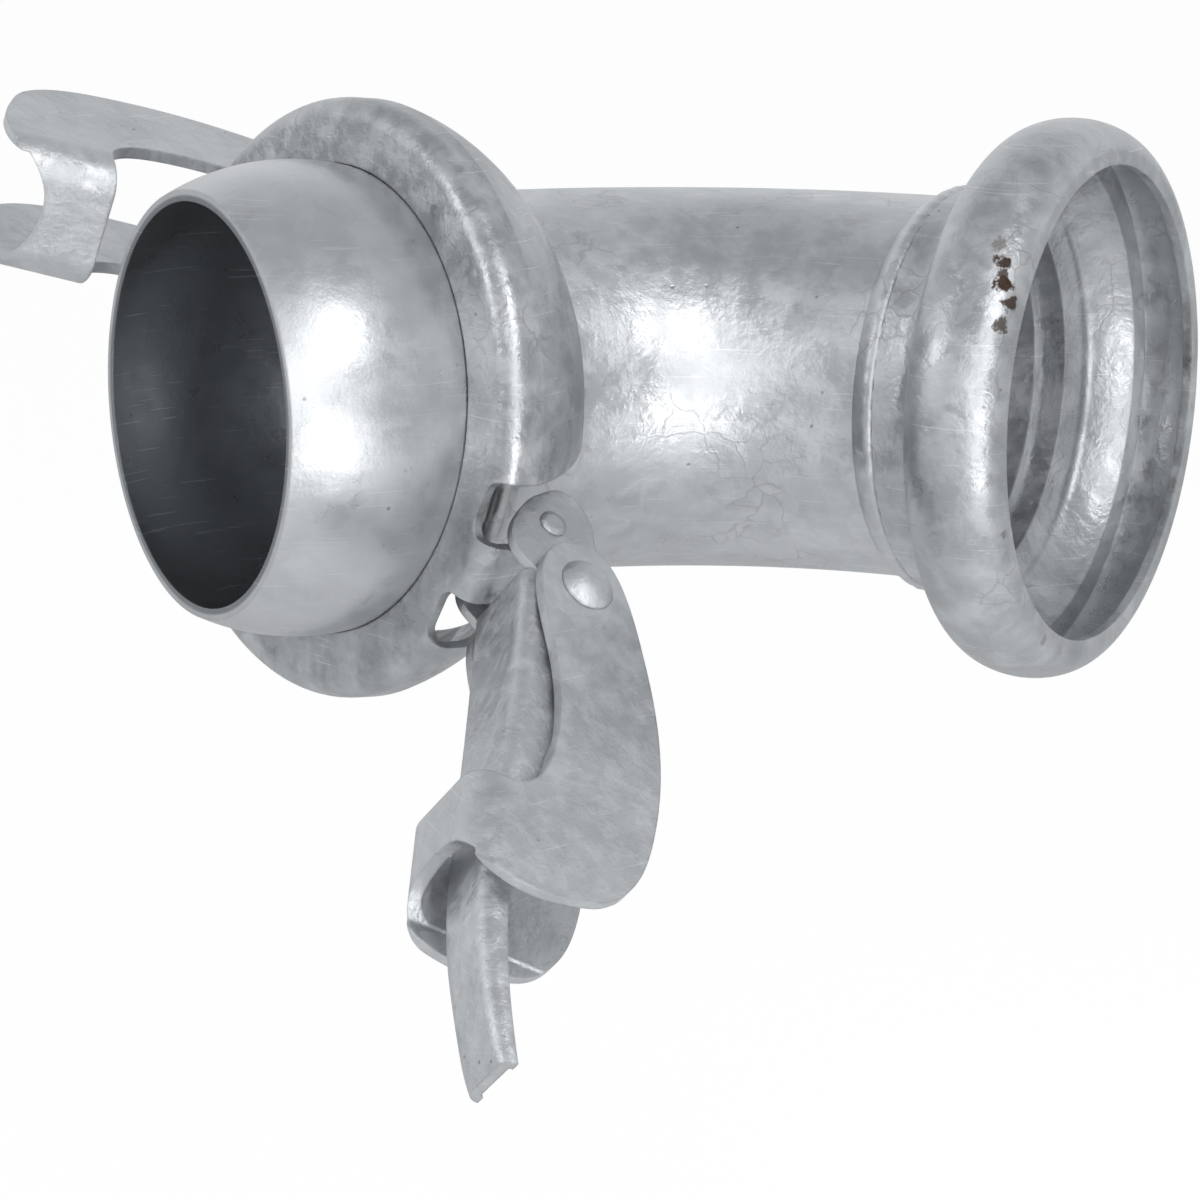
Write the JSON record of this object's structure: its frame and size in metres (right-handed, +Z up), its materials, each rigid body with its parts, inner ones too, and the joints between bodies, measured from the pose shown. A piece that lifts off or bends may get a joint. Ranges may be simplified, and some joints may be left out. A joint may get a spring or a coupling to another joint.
{
  "type": "irrigation pipe bend",
  "caption": "Sixty degree galvanised pipe bend with a ball head, a loose closing ring with lever and yoke closures, and a belled socket.",
  "frame": {"origin": "centre of the socket's lip bore, on the socket's axis", "axes": "+X along the socket's axis, out of the socket; +Z up, square to the bend's plane; the ball end goes off at 60 degrees towards -Y"},
  "size_m": [0.3099, 0.3405, 0.227],
  "materials": {
    "pipe_zinc": "hot-dip galvanised, satin, mottled",
    "ring_zinc": "hot-dip galvanised, satin",
    "closure_zinc": "hot-dip galvanised, satin"
  },
  "bodies": {
    "bend": {"bend_tube": "pipe_zinc", "ball_head": "pipe_zinc", "ball_weld": "pipe_zinc", "socket_bell": "pipe_zinc", "socket_weld": "pipe_zinc"},
    "ring": {"closing_ring": "ring_zinc"},
    "near_lever": {"near_lever": "closure_zinc", "near_hinge_pin": "closure_zinc", "near_yoke_rivets": "closure_zinc"},
    "near_yoke": {"near_yoke": "closure_zinc"},
    "far_lever": {"far_lever": "closure_zinc", "far_hinge_pin": "closure_zinc", "far_yoke_rivets": "closure_zinc"},
    "far_yoke": {"far_yoke": "closure_zinc"}
  },
  "joints": [
    {"name": "ring_turn", "type": "hinge", "parent": "bend", "child": "ring", "pos_m": [-0.18548, -0.10788, -0.00094], "axis": [-0.3601, -0.9283, 0.0924], "range_deg": [-30, 8]},
    {"name": "near_lever_hinge", "type": "hinge", "parent": "ring", "child": "near_lever", "pos_m": [-0.11736, -0.11376, -0.03703], "axis": [0.6993, -0.203, 0.6854], "range_deg": [0, 12]},
    {"name": "near_yoke_hinge", "type": "hinge", "parent": "near_lever", "child": "near_yoke", "pos_m": [-0.10418, -0.12295, -0.0532], "axis": [0.6993, -0.203, 0.6854], "range_deg": [-50, 0]},
    {"name": "far_lever_hinge", "type": "hinge", "parent": "ring", "child": "far_lever", "pos_m": [-0.23578, -0.06075, 0.03411], "axis": [-0.3802, 0.0556, -0.9232], "range_deg": [-8, 2]},
    {"name": "far_yoke_hinge", "type": "hinge", "parent": "far_lever", "child": "far_yoke", "pos_m": [-0.22156, -0.0436, 0.02928], "axis": [-0.3802, 0.0556, -0.9232], "range_deg": [0, 110]}
  ]
}
